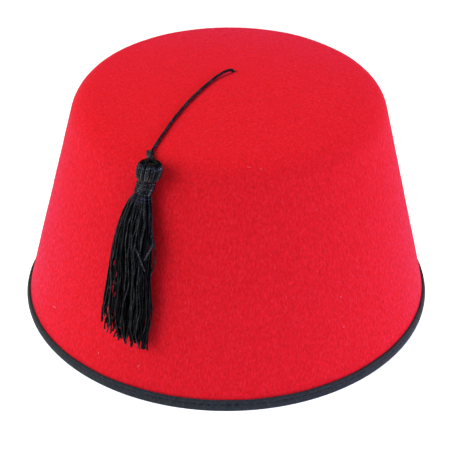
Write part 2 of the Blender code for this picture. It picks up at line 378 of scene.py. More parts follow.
def set_camera():
    """The photograph's view: from the front and above, without shift."""
    elevation = math.radians(34.0)
    distance = 580.0
    focal_pixels = 1212.0
    aim = Vector((-0.6, 0.0, 30.4))
    data = bpy.data.cameras.new("camera")
    data.sensor_width = 36.0
    data.lens = data.sensor_width * focal_pixels / IMAGE_SIDE
    data.clip_start = 0.01
    data.clip_end = 100.0
    camera = bpy.data.objects.new("camera", data)
    bpy.context.scene.collection.objects.link(camera)
    back = Vector((0.0, -math.cos(elevation), math.sin(elevation)))
    camera.location = (aim + back * distance) * MM
    camera.rotation_euler = (-back).to_track_quat("-Z", "Y").to_euler()
    bpy.context.scene.camera = camera


# Tubes and twisted threads


def arc_length(path):
    """Length along a path up to each of its points."""
    steps = np.linalg.norm(np.diff(path, axis=0), axis=1)
    return np.concatenate([[0.0], np.cumsum(steps)])


def smooth_curve(points):
    """Close points on one smooth curve through the rows of a table."""
    route = np.array(points, dtype=float)
    route = np.vstack([2 * route[0] - route[1], route, 2 * route[-1] - route[-2]])
    fine = []
    for before, start, end, after in zip(route, route[1:], route[2:], route[3:]):
        for t in np.linspace(0.0, 1.0, 16, endpoint=False):
            curve = 2 * start + (end - before) * t
            curve += (2 * before - 5 * start + 4 * end - after) * t**2
            curve += (3 * start - before - 3 * end + after) * t**3
            fine.append(0.5 * curve)
    fine.append(route[-2])
    return np.array(fine)


def smooth_route(points, step):
    """Points at even steps along one smooth curve through the route's own points."""
    fine = smooth_curve(points)
    along = arc_length(fine)
    stops = np.linspace(0.0, along[-1], round(along[-1] / step) + 1)
    return np.stack([np.interp(stops, along, column) for column in fine.T], axis=1)


def frames_along(path, side=None):
    """Two directions square to the path at each of its points, turning as little as they can."""
    tangent = np.gradient(path, axis=0)
    tangent /= np.linalg.norm(tangent, axis=1)[:, None]
    if side is None:
        side = np.cross(tangent[0], [0.31, 0.22, 0.92])
    sides = []
    for way in tangent:
        side = side - way * (side @ way)
        side /= np.linalg.norm(side)
        sides.append(side)
    sides = np.array(sides)
    return sides, np.cross(tangent, sides)


class Bundle:
    """Many closed tubes that become one mesh, with lengthwise and round coordinates in mm."""

    def __init__(self):
        self.points, self.faces, self.places, self.tones = [], [], [], []

    def tube(self, path, radius, sides, tone, flat=1.0, side=None):
        """A tube along a path with rounded blunt ends. Radius and tone are one value or one for each
        point, and flat makes it thinner square to the side that it is given."""
        path = np.asarray(path, dtype=float)
        radius = np.broadcast_to(radius, len(path)).astype(float)
        right, up = frames_along(path, side)
        up = up * flat
        ahead, behind = path[0] - path[1], path[-1] - path[-2]
        first = path[0] + ahead / np.linalg.norm(ahead) * radius[0] * TUBE_BLUNT
        last = path[-1] + behind / np.linalg.norm(behind) * radius[-1] * TUBE_BLUNT
        centres = np.vstack([(path[0] + first) / 2, path, (path[-1] + last) / 2])
        widths = np.concatenate([[radius[0] * 0.75], radius, [radius[-1] * 0.75]])
        right = np.vstack([right[0], right, right[-1]])
        up = np.vstack([up[0], up, up[-1]])
        angles = np.linspace(0.0, 2.0 * math.pi, sides, endpoint=False)
        circle = right[:, None] * np.cos(angles)[None, :, None]
        circle = circle + up[:, None] * np.sin(angles)[None, :, None]
        rings = centres[:, None] + circle * widths[:, None, None]
        base = len(self.points)
        count = len(centres)
        along = arc_length(centres)
        self.points.extend(rings.reshape(-1, 3))
        self.points.extend([first, last])
        for row in range(count - 1):
            for i in range(sides):
                j = (i + 1) % sides
                a, b = base + row * sides + i, base + row * sides + j
                self.faces.append((a, b, b + sides, a + sides))
                here, onward = i / sides, (i + 1) / sides
                low, high = along[row], along[row + 1]
                self.places.append(((here, low), (onward, low), (onward, high), (here, high)))
        start, end = base + count * sides, base + count * sides + 1
        for i in range(sides):
            j = (i + 1) % sides
            self.faces.append((base + j, base + i, start))
            self.places.append(((i / sides, 0.0),) * 3)
            final = base + (count - 1) * sides
            self.faces.append((final + i, final + j, end))
            self.places.append(((i / sides, along[-1]),) * 3)
        tone = np.broadcast_to(tone, len(path))
        self.tones.extend(np.repeat([tone[0], *tone, tone[-1]], sides))
        self.tones.extend([tone[0], tone[-1]])

    def twist(self, path, radius, pitch, tone, sides=8):
        """Plies twisted round each other along a path, together as thick as twice the radius."""
        path = np.asarray(path, dtype=float)
        right, up = frames_along(path)
        turn = 2.0 * math.pi * arc_length(path) / pitch
        for ply in range(PLIES):
            angle = turn + 2.0 * math.pi * ply / PLIES
            offset = right * np.cos(angle)[:, None] + up * np.sin(angle)[:, None]
            self.tube(path + offset * radius * PLY_OFFSET, radius * PLY_SIZE, sides, tone)

    def build(self, name, material):
        mesh = bpy.data.meshes.new(name)
        mesh.from_pydata([tuple(point) for point in np.array(self.points) * MM], [], self.faces)
        mesh.update()
        layer = mesh.uv_layers.new(name="thread")
        flat = np.array([pair for place in self.places for pair in place], dtype=np.float32)
        layer.data.foreach_set("uv", flat.ravel())
        shade = mesh.attributes.new("tone", "FLOAT", "POINT")
        shade.data.foreach_set("value", np.array(self.tones, dtype=np.float32))
        return add_piece(name, mesh, material)


# Materials


class Shader:
    """A small hand for building one Principled material."""

    def __init__(self, name, **settings):
        self.material = bpy.data.materials.new(name)
        self.material.use_nodes = True
        self.tree = self.material.node_tree
        self.principled = self.tree.nodes["Principled BSDF"]
        for socket, value in settings.items():
            self.principled.inputs[socket.replace("_", " ")].default_value = value

    def node(self, kind, settings=None, **inputs):
        made = self.tree.nodes.new(kind)
        for key, value in (settings or {}).items():
            setattr(made, key, value)
        for socket, value in inputs.items():
            self.feed(made.inputs[socket.replace("_", " ")], value)
        return made

    def feed(self, socket, value):
        if isinstance(value, bpy.types.NodeSocket):
            self.tree.links.new(value, socket)
        else:
            socket.default_value = value

    def noise(self, where, scale, detail, roughness):
        made = self.node("ShaderNodeTexNoise", Scale=scale, Detail=detail, Roughness=roughness)
        self.feed(made.inputs["Vector"], where)
        return made.outputs["Fac"]

    def stretch(self, where, scale):
        made = self.node("ShaderNodeMapping", Vector=where)
        made.inputs["Scale"].default_value = scale
        return made.outputs["Vector"]

    def math(self, operation, first, second=0.0):
        made = self.node("ShaderNodeMath", {"operation": operation})
        self.feed(made.inputs[0], first)
        self.feed(made.inputs[1], second)
        return made.outputs[0]

    def spread(self, value, low, high, to_low=0.0, to_high=1.0):
        made = self.node("ShaderNodeMapRange", Value=value)
        made.inputs["From Min"].default_value = low
        made.inputs["From Max"].default_value = high
        made.inputs["To Min"].default_value = to_low
        made.inputs["To Max"].default_value = to_high
        return made.outputs["Result"]

    def blend(self, share, first, second):
        made = self.node("ShaderNodeMix", {"data_type": "RGBA"})
        self.feed(made.inputs[0], share)
        self.feed(made.inputs[6], first)
        self.feed(made.inputs[7], second)
        return made.outputs[2]

    def bump(self, height, strength, distance, under=None):
        made = self.node("ShaderNodeBump", Height=height, Strength=strength, Distance=distance)
        if under is not None:
            self.feed(made.inputs["Normal"], under)
        return made.outputs["Normal"]


def felt_material():
    """Pressed wool: a fine fibrous grain that runs up the wall, soft mottling and a pink sheen."""
    felt = Shader(
        "felt",
        Roughness=0.92,
        Specular_IOR_Level=0.10,
        Sheen_Roughness=0.42,
        Sheen_Tint=(0.60, 0.18, 0.78, 1.0),
    )
    where = felt.node("ShaderNodeTexCoord").outputs["Object"]
    streaks = felt.noise(felt.stretch(where, (1.0, 1.0, 0.22)), 1250.0, 3.0, 0.62)
    grain = felt.noise(where, 1900.0, 2.0, 0.55)
    clouds = felt.noise(where, 150.0, 3.0, 0.55)
    specks = felt.noise(where, 1250.0, 1.0, 0.5)
    pinks = felt.noise(felt.stretch(where, (1.0, 1.0, 0.35)), 1300.0, 2.0, 0.5)
    fibres = felt.math("ADD", felt.math("MULTIPLY", streaks, 0.65), felt.math("MULTIPLY", grain, 0.35))
    dark, light = (0.590, 0.0050, 0.0080, 1.0), (0.790, 0.0090, 0.0160, 1.0)
    red = felt.blend(felt.spread(fibres, 0.36, 0.64), dark, light)
    red = felt.blend(felt.spread(clouds, 0.36, 0.64, 0.0, 0.30), red, (0.660, 0.0050, 0.0120, 1.0))
    red = felt.blend(felt.spread(pinks, 0.50, 0.74, 0.0, 0.60), red, (0.760, 0.0190, 0.0340, 1.0))
    red = felt.blend(felt.spread(specks, 0.60, 0.76, 0.0, 0.60), red, (0.340, 0.0070, 0.0090, 1.0))
    felt.feed(felt.principled.inputs["Base Color"], red)
    height = felt.node("ShaderNodeSeparateXYZ", Vector=where).outputs["Z"]
    sheen = felt.spread(pinks, 0.36, 0.66, 0.02, 0.30)
    sheen = felt.math("MULTIPLY", sheen, felt.spread(height, 0.045, 0.112, 1.25, 0.45))
    felt.feed(felt.principled.inputs["Sheen Weight"], sheen)
    soft = felt.bump(clouds, 0.20, 0.0005)
    normal = felt.bump(fibres, 0.60, 0.00024, soft)
    felt.feed(felt.principled.inputs["Normal"], normal)
    return felt.material


def nap_material():
    """Loose wool hairs, a little lighter and pinker than the felt that they stand on."""
    nap = Shader("nap", Roughness=0.8, Specular_IOR_Level=0.1)
    where = nap.node("ShaderNodeTexCoord").outputs["Object"]
    tint = nap.noise(where, 120.0, 2.0, 0.5)
    colour = nap.blend(nap.spread(tint, 0.35, 0.65), (0.90, 0.018, 0.040, 1.0), (0.95, 0.060, 0.110, 1.0))
    nap.feed(nap.principled.inputs["Base Color"], colour)
    return nap.material


def tape_material():
    """Woven tape: fine ribs across its length, with a dull slate sheen."""
    tape = Shader(
        "binding_tape",
        Roughness=0.72,
        Specular_IOR_Level=0.20,
        Sheen_Weight=0.10,
        Sheen_Roughness=0.45,
        Sheen_Tint=(0.80, 0.95, 0.95, 1.0),
    )
    place = tape.node("ShaderNodeUVMap", {"uv_map": "tape"}).outputs["UV"]
    split = tape.node("ShaderNodeSeparateXYZ", Vector=place)
    ribs = tape.math("SINE", tape.math("MULTIPLY", split.outputs["X"], 2.0 * math.pi / RIB_LENGTH))
    picks = tape.math("SINE", tape.math("MULTIPLY", split.outputs["Y"], 2.0 * math.pi / PICK_LENGTH))
    weave = tape.math("MULTIPLY", ribs, picks)
    where = tape.node("ShaderNodeTexCoord").outputs["Object"]
    worn = tape.noise(where, 700.0, 3.0, 0.70)
    colour = tape.blend(
        tape.spread(worn, 0.32, 0.70), (0.0070, 0.0096, 0.0115, 1.0), (0.0300, 0.0385, 0.0400, 1.0)
    )
    colour = tape.blend(tape.spread(ribs, -1.0, 1.0, 0.0, 0.45), colour, (0.0080, 0.0110, 0.0130, 1.0))
    tape.feed(tape.principled.inputs["Base Color"], colour)
    ridges = tape.bump(ribs, 0.35, 0.00012)
    normal = tape.bump(weave, 0.30, 0.00006, ridges)
    tape.feed(tape.principled.inputs["Normal"], normal)
    return tape.material


def thread_material(name, dark, light, roughness, gloss, lines):
    """Twisted floss: fine slanting lines round each thread, and threads of different tone and gloss. The
    tone also carries painted shade, darker and duller, at the head's top and low on the skirt.
    """
    thread = Shader(name, Roughness=roughness, Specular_Tint=(0.92, 0.97, 1.0, 1.0))
    place = thread.node("ShaderNodeUVMap", {"uv_map": "thread"}).outputs["UV"]
    split = thread.node("ShaderNodeSeparateXYZ", Vector=place)
    around = thread.math("MULTIPLY", split.outputs["X"], 2.0 * math.pi * 3.0)
    along = thread.math("MULTIPLY", split.outputs["Y"], 2.0 * math.pi * lines)
    twist = thread.math("SINE", thread.math("ADD", around, along))
    where = thread.node("ShaderNodeTexCoord").outputs["Object"]
    fluff = thread.noise(where, 1400.0, 3.0, 0.6)
    # tone: each thread's own tone, times painted shade at the head's top and low on the skirt
    tone = thread.node("ShaderNodeAttribute", {"attribute_name": "tone"}).outputs["Fac"]
    own = thread.math("MULTIPLY", tone, 60.0)
    own_place = thread.node("ShaderNodeCombineXYZ", X=own, Y=split.outputs["Y"]).outputs["Vector"]
    patches = thread.noise(own_place, 0.30, 2.0, 0.5)
    share = thread.math("MULTIPLY", tone, thread.spread(fluff, 0.3, 0.7, 0.45, 1.0))
    colour = thread.blend(share, dark, light)
    thread.feed(thread.principled.inputs["Base Color"], colour)
    shine = thread.math("MULTIPLY", share, thread.spread(patches, 0.42, 0.62, 0.25, 1.0))
    low, high = gloss
    thread.feed(thread.principled.inputs["Specular IOR Level"], thread.spread(shine, 0.0, 1.0, low, high))
    lines_normal = thread.bump(twist, 0.38, 0.00008)
    thread.feed(thread.principled.inputs["Normal"], thread.bump(fluff, 0.35, 0.00006, lines_normal))
    return thread.material


def lint_material():
    lint = Shader("lint", Roughness=0.8)
    where = lint.node("ShaderNodeTexCoord").outputs["Object"]
    tint = lint.noise(where, 60.0, 2.0, 0.5)
    colour = lint.blend(lint.spread(tint, 0.4, 0.6), (0.80, 0.17, 0.26, 1.0), (0.66, 0.34, 0.44, 1.0))
    lint.feed(lint.principled.inputs["Base Color"], colour)
    return lint.material


# The crown's surface, in mm


def shoulder_centre():
    """Centre of the arc that touches the wall and the dome, as a radius and a height."""
    slope = math.tan(WALL_TILT)
    dome_centre = CROWN_HEIGHT - DOME_RADIUS
    start = WALL_RADIUS - SHOULDER_RADIUS / math.cos(WALL_TILT)
    a = slope**2 + 1.0
    b = -2.0 * (start * slope + dome_centre)
    c = start**2 + dome_centre**2 - (DOME_RADIUS - SHOULDER_RADIUS) ** 2
    height = (-b + math.sqrt(b * b - 4.0 * a * c)) / (2.0 * a)
    return start - height * slope, height


def wall_radius(height, depth=0.0):
    return WALL_RADIUS - height * math.tan(WALL_TILT) - depth / math.cos(WALL_TILT)


def crown_section(depth, step, dome_step):
    """Radius, height and slope of the felt's face at a depth, from the rim to the middle of the top."""
    centre_radius, centre_height = shoulder_centre()
    dome_centre = CROWN_HEIGHT - DOME_RADIUS
    bend = SHOULDER_RADIUS - depth
    shoulder_end = math.atan2(centre_height - dome_centre, centre_radius)
    wall_top = centre_height + bend * math.sin(WALL_TILT)
    section = []
    wall_steps = round((wall_top - FELT_BOTTOM) / math.cos(WALL_TILT) / step)
    for height in np.linspace(FELT_BOTTOM, wall_top, wall_steps, endpoint=False):
        section.append((wall_radius(height, depth), height, WALL_TILT))
    bend_steps = round(SHOULDER_RADIUS * (shoulder_end - WALL_TILT) / step * 1.5)
    for angle in np.linspace(WALL_TILT, shoulder_end, bend_steps, endpoint=False):
        radius = centre_radius + bend * math.cos(angle)
        section.append((radius, centre_height + bend * math.sin(angle), angle))
    edge = (DOME_RADIUS - depth) * math.cos(shoulder_end)
    for radius in np.linspace(edge, HOLE_RADIUS, round(edge / dome_step)):
        angle = math.acos(radius / (DOME_RADIUS - depth))
        section.append((radius, dome_centre + (DOME_RADIUS - depth) * math.sin(angle), angle))
    return section


def uneven(point):
    """How far the felt stands out of its true shape at a point."""
    place = Vector(point)
    return sum(height * noise.noise(place / length + Vector(where)) for length, height, where in FELT_WAVES)


def felt_face(depth, step, dome_step):
    """Rings of points over one face of the felt, which close in on the cord's hole."""
    angles = np.linspace(0.0, 2.0 * math.pi, CROWN_AROUND, endpoint=False)
    circle = np.stack([np.cos(angles), np.sin(angles)], axis=1)
    slant = HOLE_WAY / HOLE_WAY[2]
    hole = HOLE_AT[:2] - slant[:2] * depth - [LEAN * CROWN_HEIGHT, 0.0]
    dome_centre = CROWN_HEIGHT - DOME_RADIUS
    rings = []
    for radius, height, slope in crown_section(depth, step, dome_step):
        flat = circle * radius
        heights = np.full(CROWN_AROUND, height)
        if slope > math.radians(80.0):
            flat = flat + hole * max(1.0 - (radius - HOLE_RADIUS) / HOLE_PULL, 0.0) ** 2
            heights = dome_centre + np.sqrt((DOME_RADIUS - depth) ** 2 - (flat**2).sum(axis=1))
        by_rim = min(max((height - TAPE_HEIGHT) / CALM_RIM, 0.0), 1.0)
        from_hole = np.linalg.norm(flat - hole, axis=1)
        ring = []
        for (x, y), z, way, away in zip(flat, heights, circle, from_hole):
            out = np.array([*(way * math.cos(slope)), math.sin(slope)])
            stand = uneven((x, y, z)) * by_rim * min(away / CALM_HOLE, 1.0)
            stand -= DIMPLE_DEPTH * math.exp(-((away / DIMPLE_WIDTH) ** 2))
            ring.append(np.array([x, y, z]) + out * stand)
        rings.append(ring)
    return rings


def lean(points):
    """Points moved to the side that the soft crown leans to."""
    points = np.array(points, dtype=float)
    points[..., 0] += LEAN * points[..., 2]
    return points


def loop_mesh(name, rings, material, across=None):
    """A closed skin over rings that return to the first one. Across gives each ring's place on the
    width of a tape, for a map in mm."""
    rings = np.array(rings)
    rows, around = rings.shape[:2]
    row, column = np.meshgrid(np.arange(rows), np.arange(around), indexing="ij")
    next_row, next_column = (row + 1) % rows, (column + 1) % around
    corners = np.stack(
        [
            row * around + column,
            row * around + next_column,
            next_row * around + next_column,
            next_row * around + column,
        ],
        axis=-1,
    )
    mesh = bpy.data.meshes.new(name)
    mesh.from_pydata((rings.reshape(-1, 3) * MM).tolist(), [], corners.reshape(-1, 4).tolist())
    mesh.update()
    if across is not None:
        round_rim = 2.0 * math.pi * RIM_RADIUS / around
        u = np.stack([column, column + 1, column + 1, column], axis=-1) * round_rim
        low, high = across[:-1][row], across[1:][row]
        v = np.stack([low, low, high, high], axis=-1)
        layer = mesh.uv_layers.new(name="tape")
        layer.data.foreach_set("uv", np.stack([u, v], axis=-1).astype(np.float32).ravel())
    return add_piece(name, mesh, material)


def add_piece(name, mesh, material):
    """A smooth object in the scene with one material."""
    mesh.shade_smooth()
    mesh.materials.append(material)
    piece = bpy.data.objects.new(name, mesh)
    bpy.context.scene.collection.objects.link(piece)
    return piece


def dress(piece, slot, *nodes):
    """Let a piece ride with the hat and stand for solids. Its slot is not used."""
    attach(piece, "root")
    if nodes:
        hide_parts(*nodes)


def make_crown(material):
    """The felt shell, a little uneven, with a small hole that the cord goes through."""
    outside = felt_face(0.0, 1.45, 1.5)
    inside = felt_face(FELT, 3.0, 3.2)
    crown = loop_mesh("felt_crown", lean(outside + inside[::-1]), material)
    dress(crown, "felt", "crown")
    return crown


# Rim


def tape_level(angle, height, outside):
    """Where a height on the tape's section lies at an azimuth: outside, the upper edge rises and falls."""
    top = TAPE_HEIGHT
    if outside > 0.0:
        azimuths, tops = zip(*TAPE_TOPS)
        top = np.interp((math.degrees(angle) + 180.0) % 360.0 - 180.0, azimuths, tops)
    return height * (1.0 + (top / TAPE_HEIGHT - 1.0) * min(height / TAPE_HEIGHT, 1.0))


def tape_depth(angle, depth, outside):
    """How far a place on the tape's section lies under the felt's face: pressed flat in two places."""
    if outside < 0.0:
        return depth
    flat = 0.0
    for azimuth, share in TAPE_PRESSED:
        away = (math.degrees(angle) - azimuth + 180.0) % 360.0 - 180.0
        flat += share * math.exp(-((away / PRESSED_WIDTH) ** 2))
    return depth * (1.0 - flat)


def rim_rings(around):
    """Rings of the folded tape: an outer leg, the fold on the floor and an inner leg."""
    section = smooth_tape_section()
    angles = np.linspace(0.0, 2.0 * math.pi, around, endpoint=False)
    rings = []
    for depth, height in section:
        ring = []
        for angle in angles:
            place = Vector((math.cos(angle), math.sin(angle), 0.0))
            free = min(height / 3.0, 1.0)
            outside = 1.0 if depth < FELT / 2.0 else -1.0
            swell = TAPE_SWELL * noise.noise(place * 14.0 + Vector((0.0, 0.0, height / 3.0)))
            rise = TAPE_RISE * noise.noise(place * 9.0 + Vector((4.4, outside, 2.1)))
            rise *= (height / TAPE_HEIGHT) ** 2
            level = tape_level(angle, height, outside)
            radius = wall_radius(level, tape_depth(angle, depth, outside)) + outside * swell * free
            ring.append((radius * place.x, radius * place.y, level + rise * free))
        rings.append(ring)
    return rings


def smooth_tape_section():
    """The tape's section as depth under the felt's face and height, mirrored about the felt's middle."""
    outer_leg = (
        # depth, height in mm, from the floor up the outer face and down behind it
        (-0.70, 0.00),
        (-1.07, 0.07),
        (-1.26, 0.30),
        (-1.33, 0.70),
        (-1.34, 1.20),
        (-1.31, 1.80),
        (-1.26, 2.40),
        (-1.17, SEAM_HEIGHT),
        (-1.21, 3.20),
        (-1.22, 3.50),
        (-1.16, 3.90),
        (-0.98, 4.22),
        (-0.70, TAPE_HEIGHT),
        (-0.34, TAPE_HEIGHT),
        (-0.18, 4.28),
        (-0.20, 3.90),
        (-0.30, 2.60),
        (-0.30, 1.50),
        (-0.28, 1.10),
    )
    inner_leg = [(FELT - depth, height) for depth, height in outer_leg[::-1]]
    return list(outer_leg) + inner_leg


def make_rim(material):
    rings = rim_rings(RIM_AROUND)
    section = np.array(smooth_tape_section())
    across = arc_length(np.vstack([section, section[:1]]))
    tape = loop_mesh("rim_tape", lean(rings), material, across)
    dress(tape, "binding_tape", "rim_binding")


def make_seam(material):
    """Stitches in the tape's groove, outside and inside, each sinking into the tape at its ends."""
    rng = np.random.default_rng(31)
    bundle = Bundle()
    for facing, depth in ((1.0, -SEAM_DEPTH), (-1.0, FELT + SEAM_DEPTH)):
        for number in range(STITCHES):
            start = 2.0 * math.pi * (number + 0.5 * (facing < 0)) / STITCHES
            seam = tape_level(start, SEAM_HEIGHT, facing)
            radius = wall_radius(seam, tape_depth(start, depth, facing))
            span = 2.0 * math.pi / STITCHES * rng.uniform(0.80, 0.90)
            share = np.linspace(0.0, 1.0, 7)
            angles = start + span * share
            sink = STITCH_SINK * (2.0 * share - 1.0) ** 4
            reach = radius - facing * sink
            height = seam + rng.normal(0.0, 0.05) + (share - 0.5) * rng.normal(0.12, 0.06)
            path = np.stack([reach * np.cos(angles), reach * np.sin(angles), height], axis=1)
            bundle.tube(lean(path), STITCH_RADIUS, 6, rng.uniform(0.2, 0.6))
    seam = bundle.build("rim_stitches", material)
    dress(seam, "binding_tape")


# Cord and its knots


def knot_point(along, up, left):
    """A point by the tassel's knot: down the cord, away from the felt, and to the left."""
    return TASSEL_KNOT_AT + KNOT_DOWN * along + KNOT_UP * up + KNOT_LEFT * left


def make_cord(material):
    path = smooth_route(CORD_ROUTE, 0.3)
    bundle = Bundle()
    bundle.twist(path, CORD_DIAMETER / 2.0, CORD_PITCH, 0.7, sides=10)
    cord = bundle.build("tassel_cord", material)
    dress(cord, "thread", "cord")
    return cord, path


def make_inner_knot(material):
    """A tight overhand knot on the cord's end, under the felt."""
    turn = np.linspace(0.0, 2.0 * math.pi, 90)
    loop = 2.0 + np.cos(3.0 * turn)
    trefoil = [loop * np.cos(2.0 * turn), loop * np.sin(2.0 * turn), 1.3 * np.sin(3.0 * turn)]
    trefoil = np.stack(trefoil, axis=1)
    bundle = Bundle()
    path = INNER_KNOT_AT + trefoil * INNER_KNOT_SCALE
    bundle.twist(path, INNER_KNOT_CORD, CORD_PITCH, 0.6)
    knot = bundle.build("inner_cord_knot", material)
    dress(knot, "thread", "inner_knot")
    return knot


def make_loop(material):
    """The tassel's folded loop of braid, the cord's end beside it, and the knot round both."""
    bundle = Bundle()
    braid = smooth_route([knot_point(*place) for place in LOOP_ROUTE], 0.2)
    bundle.tube(braid, BRAID_HALF_WIDTH, 14, 0.95, flat=BRAID_FLATNESS, side=KNOT_LEFT)
    end = smooth_route([knot_point(*place) for place in CORD_END_ROUTE], 0.2)
    bundle.twist(end, CORD_END_RADIUS, CORD_PITCH, 0.6)
    for along, drift, wide, high, tilt in KNOT_TURNS:
        turn = np.linspace(0.0, 2.0 * math.pi, 40)
        places = np.stack(
            [along + tilt * np.cos(turn), high * np.sin(turn), drift + wide * np.cos(turn)], axis=1
        )
        bundle.twist([knot_point(*place) for place in places], KNOT_CORD_RADIUS, CORD_PITCH, 0.35)
    tail = smooth_route([knot_point(*place) for place in KNOT_TAIL_ROUTE], 0.2)
    bundle.twist(tail, KNOT_TAIL_RADIUS, CORD_PITCH, 0.5)
    knot = bundle.build("tassel_loop", material)
    dress(knot, "thread", "tassel_knot")
    return knot


# Tassel


def on_wall(across, out, down):
    """Points by the wall: to the right, outwards, and down from the tassel's top."""
    foot = TASSEL_TOP - down * math.cos(WALL_TILT)
    radius = wall_radius(foot)
    azimuth = TASSEL_AZIMUTH + across / radius
    reach = radius + out * math.cos(WALL_TILT)
    height = foot + out * math.sin(WALL_TILT)
    return np.stack([reach * np.cos(azimuth) + LEAN * height, reach * np.sin(azimuth), height], axis=-1)


def read_row(rows, down):
    """The values of a table at places between its rows, on smooth curves."""
    table = smooth_curve(rows)
    return [np.interp(down, table[:, 0], column) for column in table[:, 1:].T]


def head_place(down):
    """Where the middle of the head and waist lies: across and out."""
    share = np.minimum(down / WAIST_END, 1.0) ** 2
    return HEAD_SHIFT + (WAIST_SHIFT - HEAD_SHIFT) * share, HEAD_OUT + (WAIST_OUT - HEAD_OUT) * share


def skirt_section(down):
    """Middle of the skirt across and out, and its half width and half thickness. Inside the winding
    it is as narrow as the waist."""
    left, right, thick = read_row(SKIRT_ROWS, down)
    free = np.clip((down - STRAND_START) / (SKIRT_OPEN - STRAND_START), 0.0, 1.0)
    across, out = head_place(down)
    middle = (left + right) / 2.0 * free + across * (1.0 - free)
    half_width = (right - left) / 2.0 * free + WAIST_RADIUS * (1.0 - free)
    depth = (TASSEL_BACK + thick / 2.0) * free + out * (1.0 - free)
    half_thick = thick / 2.0 * free + WAIST_RADIUS * (1.0 - free)
    return middle, depth, half_width, half_thick


def make_head(material):
    """Threads that loop over the top of the head and run down under the winding."""
    rng = np.random.default_rng(7)
    profile = smooth_route([(down, radius, 0.0) for down, radius in (HEAD_POLE, *HEAD_ROWS)], 0.45)
    downs, radii = profile[:, 0], profile[:, 1]
    bundle = Bundle()
    across, out = head_place(downs)
    core = np.maximum(radii - HEAD_CORE_DEPTH, 0.3)
    bundle.tube(on_wall(across, out, downs + HEAD_CORE_DROP), core, 28, 0.1)
    for number in range(HEAD_STRANDS):
        angle = 2.0 * math.pi * (number + rng.uniform(-0.22, 0.22)) / HEAD_STRANDS
        from_parting = (angle - HEAD_PARTING + math.pi) % (2.0 * math.pi) - math.pi
        parting = math.exp(-((from_parting / HEAD_PARTING_WIDTH) ** 2))
        parting *= math.copysign(1.0, from_parting)
        sway = rng.normal(0.0, 0.05) * np.sin(downs / 9.0 * math.pi) + HEAD_PARTING_PUSH * parting
        turn = angle + sway + rng.normal(0.0, 0.03)
        thick = np.minimum(STRAND_RADIUS, 1.25 * math.pi * np.maximum(radii, 0.5) / HEAD_STRANDS)
        lift = rng.uniform(-0.10, 0.12)
        reach = np.maximum(radii - thick + lift, 0.2)
        path = on_wall(across + reach * np.cos(turn), out + reach * np.sin(turn), downs)
        # painted shade: each thread's tone falls towards the head's top
        tone = rng.uniform(0.40, 1.0) * np.interp(downs, *HEAD_TOP_PAINTED_SHADE)
        bundle.tube(path, thick, 8, tone)
    head = bundle.build("tassel_head", material)
    dress(head, "thread", "tassel")
    return head


def make_winding(material):
    """Thin thread wound round the waist, in turns of their own tone that meet behind it, with one
    turn that slants over the others."""
    rng = np.random.default_rng(19)
    bundle = Bundle()
    turn = np.linspace(0.0, 2.0 * math.pi * WINDING_TURNS, round(WINDING_STEPS * WINDING_TURNS))
    share = turn / turn[-1]
    wander = 0.0
    for pace in (0.37, 0.81, 1.3):
        wander = wander + rng.normal(0.0, 0.05) * np.sin(pace * turn + rng.uniform(0.0, 6.3))
    down = WINDING_TOP + WINDING_RADIUS + share * WINDING_TURNS * WINDING_PITCH + wander
    down = down + WINDING_TILT * np.cos(turn)
    across, out = head_place(down)
    reach = WINDING_REACH + 0.16 * np.cos(2.0 * turn - 0.5) + 0.05 * np.sin(0.7 * turn)
    path = on_wall(across + reach * np.cos(turn), out + reach * np.sin(turn), down)
    joints = range(WINDING_JOINT, len(path) - WINDING_STEPS // 2, WINDING_STEPS)
    cuts = [0, *joints, len(path) - 1]
    for start, end in zip(cuts, cuts[1:]):
        bundle.tube(path[start : end + 1], WINDING_RADIUS, 8, rng.uniform(0.45, 1.0))
    turn = np.linspace(*LAST_TURN, LAST_TURN_STEPS)
    share = np.linspace(0.0, 1.0, LAST_TURN_STEPS)
    down = WINDING_TOP + np.linspace(*LAST_TURN_DOWN, LAST_TURN_STEPS)
    across, out = head_place(down)
    reach = WINDING_REACH + LAST_TURN_OVER - 0.5 * (2.0 * share - 1.0) ** 6
    path = on_wall(across + reach * np.cos(turn), out + reach * np.sin(turn), down)
    bundle.tube(path, WINDING_RADIUS * 0.85, 8, 0.6)
    winding = bundle.build("tassel_winding", material)
    dress(winding, "thread", "tassel_band")
    return winding


